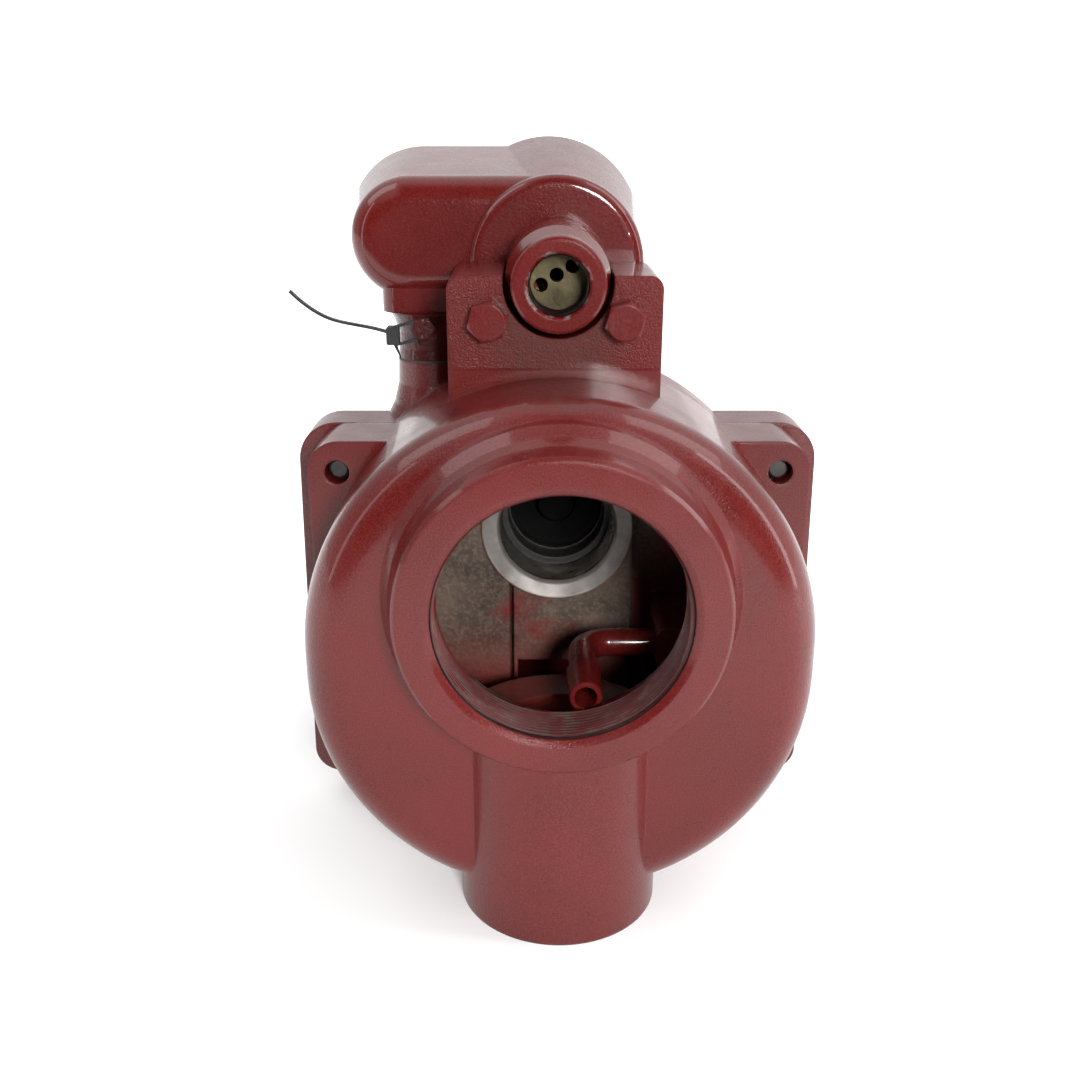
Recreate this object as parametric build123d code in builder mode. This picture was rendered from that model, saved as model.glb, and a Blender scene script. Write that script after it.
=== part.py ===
from build123d import *
import os
from math import atan2, cos, degrees, radians, sin, sqrt, tan

# Head of a submersible turbine pump, mm.  X right, Z up, +Y away from the riser port.
# Origin: centre of the riser port face.  In service -Y points down the tank riser.

# riser hub and drum
PORT_OR = 70.5          # riser hub outside radius
PORT_THREAD_R = 54.6    # 4 in pipe thread, tapped wall
PORT_MOUTH_R = 57.6     # countersunk mouth
PORT_THREAD_LEN = 27.0
DRUM_R = 114.5
DRUM_TOP_Z = -30.0      # centre of the upper half round
DRUM_LOW_Z = -43.0      # centre of the lower half round
DRUM_FRONT = 24.0
DRUM_ROUND = 20.0       # front shoulder radius
CHAMBER_R = 100.0
CHAMBER_Z = -38.0
CHAMBER_FRONT = 36.0

# bolted joint between the manifold and the discharge head
JOINT_Y = 124.0         # machined rear face of the manifold
EAR_THK = 34.0          # manifold ear thickness
EAR_HALF_W = 118.0
EAR_TOP = 52.0
EAR_LOW = -112.0
GASKET_THK = 1.0
PLATE_THK = 25.0        # discharge head plate
PLATE_HALF_W = 128.0     # at the top
PLATE_LOW_HALF_W = 131.0
PLATE_LOW = -145.0
BOLT_X = 104.0
BOLT_TOP_Z = 37.0
BOLT_LOW_Z = -97.0
BOLT_R = 5.0
BOLT_HOLE_R = 5.4
EAR_HOLE_R = 5.8         # front of the ear holes, past the thread
BOLT_AF = 16.0
BOLT_HEAD = 8.5
WASHER_THK = 2.0

# discharge leg
LEG_OR = 47.0
LEG_Y = 50.0
LEG_END = -162.0
LEG_TOP = -72.0
NPT2_R = 28.9           # 2 in pipe thread, tapped wall
NPT2_MOUTH_R = 30.2
NPT2_LEN = 25.0
NPT2_BORE_R = 26.0

# bracket block on top of the drum
BLOCK_X0 = -50.0
BLOCK_X1 = 45.0
BLOCK_FRONT = 80.0
BLOCK_TOP = 129.0
BOX_FRONT = 130.0       # block back, box front wall
BOX_BOLT_Z = 110.0
BOX_BOLT_XS = (-32.0, 28.0)

# wiring box
COND_X = -1.0
COND_Z = 126.0
COND_FACE = 70.0
COND_OR = 20.8
COND_COLLAR_R = 23.5
NPT34_R = 13.3
NPT34_MOUTH_R = 14.2
NPT34_LEN = 18.0
LOBE_R = 42.0           # round lobe round the conduit, front
LOBE_Z = 126.7
LOBE_REAR_R = 50.0
LOBE_REAR_X = -3.6
LOBE_REAR_Z = 133.8
CAP_LOBE_X = -71.0      # capacitor lobe
CAP_LOBE_Z = 138.7
CAP_LOBE_R = 29.0
CAP_LOBE_REAR_R = 40.0
CAP_FRONT = 134.0
CAP_ROUND = 13.0
BOX_FLOOR = 92.0
BOX_WALL = 6.0
BOX_REAR = 222.0
COVER_THK = 9.0
COVER_GASKET = 2.0
COVER_SCREW_R = 2.5

# return tube inside the chamber
TUBE_X = 11.5
TUBE_Z = -50.0
TUBE_TIP = 31.0
TUBE_Y = 89.0
TUBE_R = 6.8

# tag peg on the wiring neck
PEG_X = -64.0
PEG_Z = 99.0
PEG_FRONT = 121.0

# seal disc holes, from the conduit axis
DISC_HOLES = [(-7.6, -2.4), (-0.6, 2.0), (6.4, 5.8)]
DISC_HOLE_R = 3.1

# discharge head
HUB_FACE = 115.0
HUB_OR = 38.0
VALVE_R = 36.0
VALVE_BODY_R = 52.0
SEAT_Y = 152.0
SEAT_THK = 6.0
VALVE_REAR = 216.0
CAP_THREAD_R = 40.0
RELIEF_Y = 186.0
RELIEF_X = 80.0
NECK_X = -62.0
NECK_Y = 149.0
NECK_PAD_Z = 80.0
NECK_TOP = 104.0
NECK_R = 17.0
RUN = 0.15              # running clearance of sliding valve parts

PLATE_FRONT = JOINT_Y + GASKET_THK
PLATE_REAR = PLATE_FRONT + PLATE_THK
BOLT_XZ = [
    (-BOLT_X, BOLT_TOP_Z),
    (BOLT_X, BOLT_TOP_Z),
    (-BOLT_X, BOLT_LOW_Z),
    (BOLT_X, BOLT_LOW_Z),
]


def at_y(y, x=0.0, z=0.0):
    """Sketch plane facing -Y, sketch x = X and sketch y = Z; negative extrusions run to +Y."""
    return Plane(origin=(x, y, z), x_dir=(1, 0, 0), z_dir=(0, -1, 0))


def at_x(x, y=0.0, z=0.0):
    """Sketch plane facing +X, sketch x = Y and sketch y = Z."""
    return Plane(origin=(x, y, z), x_dir=(0, 1, 0), z_dir=(1, 0, 0))


def disc_y(x, z, r, y0, y1, mode=Mode.ADD):
    """Cylinder along Y from y0 to y1."""
    with BuildSketch(at_y(y0)) as sk:
        with Locations((x, z)):
            Circle(r)
    extrude(sk.sketch, amount=-(y1 - y0), mode=mode)


def disc_z(x, y, r, z0, z1, mode=Mode.ADD):
    """Cylinder along Z from z0 to z1."""
    with BuildSketch(Plane.XY.offset(z0)) as sk:
        with Locations((x, y)):
            Circle(r)
    extrude(sk.sketch, amount=z1 - z0, mode=mode)


def disc_x(y, z, r, x0, x1, mode=Mode.ADD):
    """Cylinder along X from x0 to x1."""
    with BuildSketch(at_x(x0)) as sk:
        with Locations((y, z)):
            Circle(r)
    extrude(sk.sketch, amount=x1 - x0, mode=mode)


def hex_y(x, z, across_flats, y0, y1, turn=0.0):
    """Hexagonal prism along Y."""
    with BuildSketch(at_y(y0)) as sk:
        with Locations((x, z)):
            RegularPolygon(across_flats / 2, 6, major_radius=False, rotation=turn)
    extrude(sk.sketch, amount=-(y1 - y0))


def hex_head_y(x, z, across_flats, face, seat, turn=0.0):
    """Hexagon head along Y, corners chamfered at its free face."""
    corner = across_flats / 2 / cos(radians(30))
    flat = 0.96 * across_flats / 2
    rise = (corner - flat) * tan(radians(30)) * (1 if seat > face else -1)
    with BuildPart(mode=Mode.PRIVATE) as head:
        hex_y(x, z, across_flats, min(face, seat), max(face, seat), turn)
        turned_y(x, z, [(face, flat), (face + rise, corner), (seat, corner)], Mode.INTERSECT)
    add(head.part)


def turned_y(x, z, profile, mode=Mode.ADD):
    """Solid of revolution about a Y axis; profile is a list of (y, radius)."""
    pts = [(y, z + r) for y, r in profile]
    ends = [(profile[-1][0], z), (profile[0][0], z)]
    with BuildSketch(at_x(x)) as sk:
        with BuildLine():
            Polyline(*pts, *ends, close=True)
        make_face()
    revolve(sk.sketch, axis=Axis((x, 0, z), (0, 1, 0)), mode=mode)


def turned_z(x, y, profile, mode=Mode.ADD):
    """Solid of revolution about a Z axis; profile is a list of (radius, z)."""
    pts = [(x + r, z) for r, z in profile]
    ends = [(x, profile[-1][1]), (x, profile[0][1])]
    with BuildSketch(at_y(y)) as sk:
        with BuildLine():
            Polyline(*pts, *ends, close=True)
        make_face()
    revolve(sk.sketch, axis=Axis((x, y, 0), (0, 0, 1)), mode=mode)


def turned_x(y, z, profile, mode=Mode.ADD):
    """Solid of revolution about an X axis; profile is a list of (x, radius)."""
    pts = [(x, z + r) for x, r in profile]
    ends = [(profile[-1][0], z), (profile[0][0], z)]
    with BuildSketch(at_y(y)) as sk:
        with BuildLine():
            Polyline(*pts, *ends, close=True)
        make_face()
    revolve(sk.sketch, axis=Axis((0, y, z), (1, 0, 0)), mode=mode)


def coil(base, direction, mean_r, wire_r, length, turns):
    """Compression spring from base along direction."""
    start = [b + d * wire_r for b, d in zip(base, direction)]
    height = length - 2 * wire_r
    with BuildPart() as spring:
        with BuildLine() as wire:
            Helix(
                pitch=height / turns, height=height, radius=mean_r,
                center=start, direction=direction,
            )
        with BuildSketch(Plane(origin=wire.line @ 0, z_dir=wire.line % 0)) as section:
            Circle(wire_r)
        sweep(section.sketch, path=wire.line, is_frenet=True)
    return spring


def save(builder, name):
    builder.part.label = name
    export_step(builder.part, "parts/" + name + ".step")


os.makedirs("parts", exist_ok=True)


# ---------------------------------------------------------------- manifold
def drum_outline():
    """Half rounds joined by short straight sides."""
    with Locations((0, DRUM_TOP_Z), (0, DRUM_LOW_Z)):
        Circle(DRUM_R)
    with Locations((0, (DRUM_TOP_Z + DRUM_LOW_Z) / 2)):
        Rectangle(2 * DRUM_R, DRUM_TOP_Z - DRUM_LOW_Z)


def rect_xz(x0, x1, z0, z1):
    with Locations(((x0 + x1) / 2, (z0 + z1) / 2)):
        Rectangle(x1 - x0, z1 - z0)


with BuildPart() as manifold_casting:
    with BuildSketch(at_y(DRUM_FRONT)):
        drum_outline()
    extrude(amount=-(JOINT_Y - DRUM_FRONT))
    fillet(manifold_casting.edges().group_by(Axis.Y)[0], DRUM_ROUND)
    # corner ears
    with BuildSketch(at_y(JOINT_Y - EAR_THK)) as ears:
        rect_xz(-EAR_HALF_W, EAR_HALF_W, EAR_LOW, EAR_TOP)
        fillet(ears.vertices(), 15)
    extrude(amount=-EAR_THK)
    # leg
    disc_z(0, LEG_Y, LEG_OR, LEG_END, -45)
    # bracket block with the notch for the conduit boss
    with BuildSketch(at_y(BLOCK_FRONT)):
        rect_xz(BLOCK_X0, BLOCK_X1, 60, BLOCK_TOP)
    extrude(amount=-(JOINT_Y - BLOCK_FRONT))
    with BuildSketch(at_y(JOINT_Y)):
        rect_xz(BLOCK_X0, BLOCK_X1, DRUM_TOP_Z + DRUM_R + 3, BLOCK_TOP)
    extrude(amount=-(BOX_FRONT - JOINT_Y))
    fillet(
        manifold_casting.edges().filter_by(Axis.Y).group_by(Axis.Z)[-1],
        6,
    )
    # riser hub, flared into the drum front
    turned_y(
        0,
        0,
        [(0, PORT_OR - 1.5), (1.5, PORT_OR), (13, PORT_OR + 1), (19, PORT_OR + 3),
         (DRUM_FRONT, PORT_OR + 7), (DRUM_FRONT + 6, PORT_OR + 8), (50, PORT_OR + 8)],
    )
    # chamber, with the floor left round the leg
    disc_y(0, CHAMBER_Z, CHAMBER_R, CHAMBER_FRONT, JOINT_Y, Mode.SUBTRACT)
    with BuildSketch(Plane.XY.offset(DRUM_LOW_Z - DRUM_R + 12)):
        with Locations((0, LEG_Y)):
            Circle(LEG_OR)
    extrude(amount=LEG_TOP - (DRUM_LOW_Z - DRUM_R + 12))
    # riser thread and mouth
    turned_y(
        0,
        0,
        [(-1, PORT_MOUTH_R + 1), (0, PORT_MOUTH_R), (2, PORT_THREAD_R), (60, PORT_THREAD_R)],
        Mode.SUBTRACT,
    )
    disc_y(0, 0, PORT_THREAD_R + 3, PORT_THREAD_LEN, CHAMBER_FRONT + 24, Mode.SUBTRACT)
    # discharge thread and bore
    turned_z(
        0,
        LEG_Y,
        [(NPT2_MOUTH_R + 0.5, LEG_END - 0.5), (NPT2_R, LEG_END + 2.5),
         (NPT2_R, LEG_END + NPT2_LEN), (NPT2_BORE_R, LEG_END + NPT2_LEN), (NPT2_BORE_R, -40)],
        Mode.SUBTRACT,
    )
    # notch and bolt holes of the block
    disc_y(COND_X, COND_Z, COND_COLLAR_R + 1.0, BLOCK_FRONT - 1, BOX_FRONT + 1, Mode.SUBTRACT)
    for bx in BOX_BOLT_XS:
        disc_y(bx, BOX_BOLT_Z, BOLT_HOLE_R, BLOCK_FRONT - 1, BOX_FRONT + 1, Mode.SUBTRACT)
    for hx, hz in BOLT_XZ:
        disc_y(hx, hz, BOLT_R + 0.02, JOINT_Y - EAR_THK - 1, JOINT_Y + 1, Mode.SUBTRACT)
        disc_y(hx, hz, EAR_HOLE_R, JOINT_Y - EAR_THK - 1, JOINT_Y - EAR_THK + 14, Mode.SUBTRACT)
save(manifold_casting, "manifold_casting")


# ---------------------------------------------------------------- discharge head
SPIGOT_R = CHAMBER_R - 0.15
SPIGOT_Y = 113.0
DUCT_X = 20.0
DUCT_LOW = -86.0
PORT_X = 62.0           # leak detector port
PORT_Z = -66.0
TEST_X = -64.0
TEST_Z = -62.0
EYE_X = -92.0
EYE_Z = -42.0
GROOVE_Y = 117.0
GROOVE_W = 5.0
GROOVE_D = 3.9

with BuildPart() as discharge_head:
    with BuildSketch(at_y(PLATE_FRONT)):
        drum_outline()
        with BuildSketch(mode=Mode.PRIVATE) as plate:
            with BuildLine():
                Polyline(
                    (-PLATE_HALF_W, EAR_TOP), (PLATE_HALF_W, EAR_TOP),
                    (PLATE_LOW_HALF_W, PLATE_LOW), (-PLATE_LOW_HALF_W, PLATE_LOW),
                    close=True,
                )
            make_face()
            fillet(plate.vertices().group_by(Axis.Y)[-1], 19)
            fillet(plate.vertices().group_by(Axis.Y)[0], 14)
        add(plate.sketch)
    extrude(amount=-PLATE_THK)
    # register that enters the chamber
    disc_y(0, CHAMBER_Z, SPIGOT_R, SPIGOT_Y, PLATE_FRONT)
    disc_y(0, CHAMBER_Z, SPIGOT_R - 10, SPIGOT_Y - 1, PLATE_FRONT, Mode.SUBTRACT)
    with BuildSketch(at_y(GROOVE_Y)):
        with Locations((0, CHAMBER_Z)):
            Circle(SPIGOT_R + 2)
            Circle(SPIGOT_R - GROOVE_D, mode=Mode.SUBTRACT)
    extrude(amount=-GROOVE_W, mode=Mode.SUBTRACT)
    # column hub and the cast wall beside and below it
    disc_y(0, 0, HUB_OR, HUB_FACE, PLATE_FRONT + 2)
    with BuildSketch(at_y(HUB_FACE + 3)):
        rect_xz(-22, HUB_OR, -96, -8)
    extrude(amount=-10)
    with BuildSketch(at_y(HUB_FACE + 1)) as wall:
        rect_xz(-74, -24, -100, 2)
        fillet(wall.vertices(), 8)
    extrude(amount=-12)
    # lug that takes the return tube
    with BuildSketch(at_y(78)) as lug:
        rect_xz(48, 70, -62, -38)
        fillet(lug.vertices(), 5)
    extrude(amount=-(PLATE_FRONT + 2 - 78))
    # valve housing, duct and side bosses behind the plate
    disc_y(0, 0, VALVE_BODY_R, PLATE_REAR - 2, VALVE_REAR)
    with BuildSketch(at_y(PLATE_REAR - 2)) as duct:
        rect_xz(-DUCT_X - 12, DUCT_X + 12, DUCT_LOW - 12, 0)
        fillet(duct.vertices(), 8)
    extrude(amount=-42)
    disc_x(RELIEF_Y, 0, 17, 0, RELIEF_X)
    disc_x(RELIEF_Y, 0, 15, -RELIEF_X, 0)
    disc_y(PORT_X, PORT_Z, 39, PLATE_REAR - 2, PLATE_REAR + 24)
    disc_y(TEST_X, TEST_Z, 14, PLATE_REAR - 2, PLATE_REAR + 10)
    disc_y(EYE_X, EYE_Z, 14, PLATE_REAR - 2, PLATE_REAR + 8)
    # stub that carries the wiring neck
    turned_z(
        NECK_X,
        NECK_Y,
        [(23.5, 5), (23.5, 52), (20.5, 58), (NECK_R + 1, 68), (NECK_R + 0.5, NECK_PAD_Z)],
    )
    # column thread, passage, seat pocket, valve chamber, cap thread
    turned_y(
        0,
        0,
        [(HUB_FACE - 3.5, NPT2_MOUTH_R + 0.5), (HUB_FACE, NPT2_MOUTH_R), (HUB_FACE + 2.5, NPT2_R),
         (HUB_FACE + NPT2_LEN, NPT2_R), (HUB_FACE + NPT2_LEN, 25), (SEAT_Y, 25),
         (SEAT_Y, 30), (SEAT_Y + SEAT_THK, 30), (SEAT_Y + SEAT_THK, VALVE_R),
         (VALVE_REAR - 10, VALVE_R), (VALVE_REAR - 10, CAP_THREAD_R), (VALVE_REAR + 1, CAP_THREAD_R)],
        Mode.SUBTRACT,
    )
    # duct from the valve chamber down and forward into the manifold
    with BuildSketch(at_y(162)):
        rect_xz(-DUCT_X, DUCT_X, DUCT_LOW, -20)
    extrude(amount=-20, mode=Mode.SUBTRACT)
    with BuildSketch(at_y(SPIGOT_Y)):
        rect_xz(-DUCT_X, DUCT_X, DUCT_LOW, -74)
    extrude(amount=-60, mode=Mode.SUBTRACT)
    # relief bore, siphon bore
    turned_x(
        RELIEF_Y,
        0,
        [(30, 4.5), (52, 4.5), (52, 9), (RELIEF_X + 1, 9)],
        Mode.SUBTRACT,
    )
    turned_x(
        RELIEF_Y,
        0,
        [(-30, 2.2), (-50, 2.2), (-50, 4.3), (-62, 4.3), (-62, 7), (-RELIEF_X - 1, 7)],
        Mode.SUBTRACT,
    )
    # leak detector port into the chamber, test port, eye bolt hole
    disc_y(PORT_X, PORT_Z, NPT2_R, PLATE_REAR, PLATE_REAR + 25, Mode.SUBTRACT)
    disc_y(PORT_X - 4, PORT_Z - 12, 11, SPIGOT_Y, PLATE_REAR + 1, Mode.SUBTRACT)
    disc_y(TEST_X, TEST_Z, 6.5, PLATE_REAR - 4, PLATE_REAR + 11, Mode.SUBTRACT)
    disc_y(TEST_X, TEST_Z, 3, SPIGOT_Y - 2, PLATE_REAR, Mode.SUBTRACT)
    disc_y(EYE_X, EYE_Z, 5.02, PLATE_FRONT + 7, PLATE_REAR + 9, Mode.SUBTRACT)
    # return tube socket
    disc_x(TUBE_Y, TUBE_Z, TUBE_R + 0.02, 47, 60, Mode.SUBTRACT)
    # wiring passage through the neck pad
    disc_z(NECK_X, NECK_Y, 13, 60, NECK_PAD_Z + 1, Mode.SUBTRACT)
    disc_z(NECK_X, NECK_Y, 7, 14, 61, Mode.SUBTRACT)
    disc_y(NECK_X, 21, 6, SPIGOT_Y - 2, NECK_Y, Mode.SUBTRACT)
    for hx, hz in BOLT_XZ:
        disc_y(hx, hz, BOLT_HOLE_R, PLATE_FRONT - 1, PLATE_REAR + 1, Mode.SUBTRACT)
save(discharge_head, "discharge_head")

with BuildPart() as head_gasket:
    with BuildSketch(at_y(JOINT_Y)):
        drum_outline()
        with BuildSketch(mode=Mode.PRIVATE) as ears:
            rect_xz(-EAR_HALF_W, EAR_HALF_W, EAR_LOW, EAR_TOP)
            fillet(ears.vertices(), 20)
        add(ears.sketch)
        with Locations((0, CHAMBER_Z)):
            Circle(CHAMBER_R + 1, mode=Mode.SUBTRACT)
        with Locations(*BOLT_XZ):
            Circle(BOLT_HOLE_R, mode=Mode.SUBTRACT)
    extrude(amount=-GASKET_THK)
save(head_gasket, "head_gasket")

with BuildPart() as head_o_ring:
    with BuildSketch(Plane.YZ):
        with Locations((GROOVE_Y + GROOVE_W / 2, CHAMBER_Z + CHAMBER_R - 2.05)):
            Circle(1.95)
    revolve(axis=Axis((0, 0, CHAMBER_Z), (0, 1, 0)))
save(head_o_ring, "head_o_ring")

with BuildPart() as head_bolts:
    for hx, hz in BOLT_XZ:
        seat = PLATE_REAR + WASHER_THK
        tip = JOINT_Y - EAR_THK + 6
        hex_head_y(hx, hz, BOLT_AF, seat + BOLT_HEAD, seat)
        turned_y(hx, hz, [(tip, BOLT_R - 1.1), (tip + 1.1, BOLT_R), (seat + 1, BOLT_R)])
save(head_bolts, "head_bolts")

with BuildPart() as head_washers:
    for hx, hz in BOLT_XZ:
        disc_y(hx, hz, 10, PLATE_REAR, PLATE_REAR + WASHER_THK)
        disc_y(hx, hz, BOLT_R + 0.3, PLATE_REAR - 1, PLATE_REAR + WASHER_THK + 1, Mode.SUBTRACT)
save(head_washers, "head_washers")

# ---------------------------------------------------------------- return tube
with BuildPart() as return_tube:
    with BuildLine() as path:
        FilletPolyline(
            (TUBE_X, TUBE_TIP + 10, TUBE_Z),
            (TUBE_X, TUBE_Y, TUBE_Z),
            (57, TUBE_Y, TUBE_Z),
            radius=14,
        )
    with BuildSketch(Plane(origin=(TUBE_X, TUBE_TIP + 10, TUBE_Z), z_dir=(0, 1, 0))):
        Circle(TUBE_R)
        Circle(TUBE_R - 1.6, mode=Mode.SUBTRACT)
    sweep()
save(return_tube, "return_tube")

with BuildPart() as return_nipple:
    turned_y(
        TUBE_X,
        TUBE_Z,
        [(TUBE_TIP, TUBE_R + 0.1), (TUBE_TIP + 0.8, TUBE_R + 0.7), (TUBE_TIP + 24, TUBE_R + 1.4),
         (TUBE_TIP + 25, TUBE_R + 0.7)],
    )
    disc_y(TUBE_X, TUBE_Z, TUBE_R - 1.6, TUBE_TIP - 1, TUBE_TIP + 10, Mode.SUBTRACT)
    disc_y(TUBE_X, TUBE_Z, TUBE_R, TUBE_TIP + 10, TUBE_TIP + 26, Mode.SUBTRACT)
save(return_nipple, "return_nipple")

# ---------------------------------------------------------------- check valve
SEAT_R = 24.0
POPPET_R = 29.0
POPPET_Y = SEAT_Y + SEAT_THK
SEAL_THK = 2.5
STEM_R = 4.0
STEM_END = 188.0
LIFT = 14.0
SPRING_R = 12.0
WIRE_R = 0.8
SPRING_SEAT = 203.0

with BuildPart() as check_seat:
    disc_y(0, 0, 30, SEAT_Y, POPPET_Y)
    disc_y(0, 0, SEAT_R, SEAT_Y - 1, POPPET_Y + 1, Mode.SUBTRACT)
save(check_seat, "check_seat")

with BuildPart() as check_seal:
    disc_y(0, 0, POPPET_R - 1, POPPET_Y + 0.02, POPPET_Y + SEAL_THK)
    disc_y(0, 0, 8, POPPET_Y, POPPET_Y + SEAL_THK + 1, Mode.SUBTRACT)
save(check_seal, "check_seal")

with BuildPart() as check_poppet:
    turned_y(
        0,
        0,
        [(POPPET_Y - 4, 9), (POPPET_Y, 11), (POPPET_Y, 8), (POPPET_Y + SEAL_THK, 8),
         (POPPET_Y + SEAL_THK, POPPET_R), (POPPET_Y + 7, POPPET_R), (POPPET_Y + 10, 9),
         (POPPET_Y + 12, STEM_R + 2), (POPPET_Y + 12, STEM_R), (STEM_END, STEM_R)],
    )
save(check_poppet, "check_poppet")

SPRING_BASE = POPPET_Y + 10.05
check_spring = coil(
    (0, SPRING_BASE, 0), (0, 1, 0), SPRING_R, WIRE_R, SPRING_SEAT - SPRING_BASE, 5
)
save(check_spring, "check_spring")

with BuildPart() as valve_cap:
    turned_y(
        0,
        0,
        [(SPRING_SEAT + 0.01, CAP_THREAD_R - 5), (VALVE_REAR - 10, CAP_THREAD_R - 5),
         (VALVE_REAR - 10, CAP_THREAD_R - 0.02), (VALVE_REAR, CAP_THREAD_R - 0.02),
         (VALVE_REAR, 50), (VALVE_REAR + 5, 50), (VALVE_REAR + 6, 49)],
    )
    disc_y(0, 0, 8.5, 190, SPRING_SEAT + 1)
    hex_y(0, 0, 50, VALVE_REAR + 5, VALVE_REAR + 20)
    disc_y(0, 0, STEM_R + RUN / 2, 189, VALVE_REAR - 3, Mode.SUBTRACT)
    disc_y(0, 0, 6 + RUN / 2, VALVE_REAR - 3, VALVE_REAR + 21, Mode.SUBTRACT)
    with BuildSketch(at_y(VALVE_REAR - 0.1)):
        Circle(47.2)
        Circle(42.8, mode=Mode.SUBTRACT)
    extrude(amount=-3.4, mode=Mode.SUBTRACT)
save(valve_cap, "valve_cap")

with BuildPart() as valve_cap_o_ring:
    with BuildSketch(Plane.YZ):
        with Locations((VALVE_REAR + 1.65, 45)):
            Circle(1.62)
    revolve(axis=Axis((0, 0, 0), (0, 1, 0)))
save(valve_cap_o_ring, "valve_cap_o_ring")

with BuildPart() as purge_screw:
    disc_y(0, 0, 6, VALVE_REAR - 1, VALVE_REAR + 26)
    hex_head_y(0, 0, 17, VALVE_REAR + 38, VALVE_REAR + 26)
    disc_y(0, 0, 10, VALVE_REAR + 24, VALVE_REAR + 26.5)
save(purge_screw, "purge_screw")

# ---------------------------------------------------------------- relief and siphon valves
RELIEF_LIFT = 3.0

with BuildPart() as relief_poppet:
    turned_x(
        RELIEF_Y,
        0,
        [(52.05, 4.2), (52.05, 7), (56, 7), (57.5, 2.5), (64.5, 2.5)],
    )
save(relief_poppet, "relief_poppet")

relief_spring = coil(
    (56.6, RELIEF_Y, 0), (1, 0, 0), 5.4, 0.45, 8.75, 4
)
save(relief_spring, "relief_spring")

with BuildPart() as relief_cap:
    turned_x(
        RELIEF_Y,
        0,
        [(65.4, 8.98), (RELIEF_X, 8.98), (RELIEF_X, 16), (RELIEF_X + 3, 16)],
    )
    with BuildSketch(at_x(RELIEF_X + 3, RELIEF_Y, 0)):
        RegularPolygon(11, 6, major_radius=False)
    extrude(amount=10)
    disc_x(RELIEF_Y, 0, 2.5 + RUN / 2, 60, 71, Mode.SUBTRACT)
    disc_x(RELIEF_Y, 0, 5, 70, RELIEF_X + 14, Mode.SUBTRACT)
    disc_x(RELIEF_Y, 0, 8.2, RELIEF_X + 8, RELIEF_X + 14, Mode.SUBTRACT)
save(relief_cap, "relief_cap")

BALL_R = 4.0
BALL_X = -50 - sqrt(BALL_R ** 2 - 2.2 ** 2) - 0.03

with BuildPart() as siphon_ball:
    with Locations((BALL_X, RELIEF_Y, 0)):
        Sphere(BALL_R)
save(siphon_ball, "siphon_ball")

siphon_spring = coil((-56.3, RELIEF_Y, 0), (-1, 0, 0), 3.0, 0.35, 5.7, 3)
save(siphon_spring, "siphon_spring")

with BuildPart() as siphon_body:
    turned_x(
        RELIEF_Y,
        0,
        [(-62.05, 6.97), (-RELIEF_X, 6.97), (-RELIEF_X, 9.5), (-RELIEF_X - 2, 9.5),
         (-RELIEF_X - 10, 5), (-RELIEF_X - 12, 5), (-RELIEF_X - 22, 5), (-RELIEF_X - 26, 4)],
    )
    with BuildSketch(at_x(-RELIEF_X - 9, RELIEF_Y, 0)):
        RegularPolygon(8.5, 6, major_radius=False)
    extrude(amount=9)
    disc_x(RELIEF_Y, 0, 2.4, -RELIEF_X - 27, -60, Mode.SUBTRACT)
save(siphon_body, "siphon_body")

# ---------------------------------------------------------------- plugs, eye
with BuildPart() as leak_port_plug:
    disc_y(PORT_X, PORT_Z, NPT2_R - 0.02, PLATE_REAR + 6, PLATE_REAR + 28)
    with BuildSketch(at_y(PLATE_REAR + 28)) as sq:
        with Locations((PORT_X, PORT_Z)):
            Rectangle(26, 26)
        fillet(sq.vertices(), 3)
    extrude(amount=-18)
save(leak_port_plug, "leak_port_plug")

with BuildPart() as test_port_plug:
    disc_y(TEST_X, TEST_Z, 6.48, PLATE_REAR - 2, PLATE_REAR + 9)
    with BuildSketch(at_y(PLATE_REAR + 3)):
        with Locations((TEST_X, TEST_Z)):
            RegularPolygon(3.2, 6, major_radius=False)
    extrude(amount=-7, mode=Mode.SUBTRACT)
save(test_port_plug, "test_port_plug")

with BuildPart() as lifting_eye:
    disc_y(EYE_X, EYE_Z, 5, PLATE_FRONT + 8, PLATE_REAR + 12)
    disc_y(EYE_X, EYE_Z, 11, PLATE_REAR + 8, PLATE_REAR + 12)
    disc_y(EYE_X, EYE_Z, 6, PLATE_REAR + 11, PLATE_REAR + 20)
    with BuildSketch(Plane(origin=(EYE_X, PLATE_REAR + 34, EYE_Z + 17), z_dir=(0, 1, 0))):
        Circle(5)
    revolve(axis=Axis((EYE_X, PLATE_REAR + 34, EYE_Z), (1, 0, 0)))
save(lifting_eye, "lifting_eye")


# ---------------------------------------------------------------- wiring box
def slot_face(y, r):
    """Half round of the capacitor lobe with flat top and bottom, ending inside the round lobe."""
    with BuildSketch(at_y(y)) as sk:
        with BuildLine():
            Line((COND_X - 1, CAP_LOBE_Z + r), (CAP_LOBE_X, CAP_LOBE_Z + r))
            ThreePointArc(
                (CAP_LOBE_X, CAP_LOBE_Z + r),
                (CAP_LOBE_X - r, CAP_LOBE_Z),
                (CAP_LOBE_X, CAP_LOBE_Z - r),
            )
            Line((CAP_LOBE_X, CAP_LOBE_Z - r), (COND_X - 1, CAP_LOBE_Z - r))
            Line((COND_X - 1, CAP_LOBE_Z - r), (COND_X - 1, CAP_LOBE_Z + r))
        make_face()
    return sk.sketch


def round_face(y, x, z, r):
    with BuildSketch(at_y(y)) as sk:
        with Locations((x, z)):
            Circle(r)
    return sk.sketch


def floored(y0, y1, floor):
    """Cut away what the round lobe has below a flat floor."""
    with BuildSketch(at_y(y0)) as sk:
        rect_xz(-90, 90, floor - 40, floor)
    extrude(sk.sketch, amount=-(y1 - y0), mode=Mode.SUBTRACT)


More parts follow.
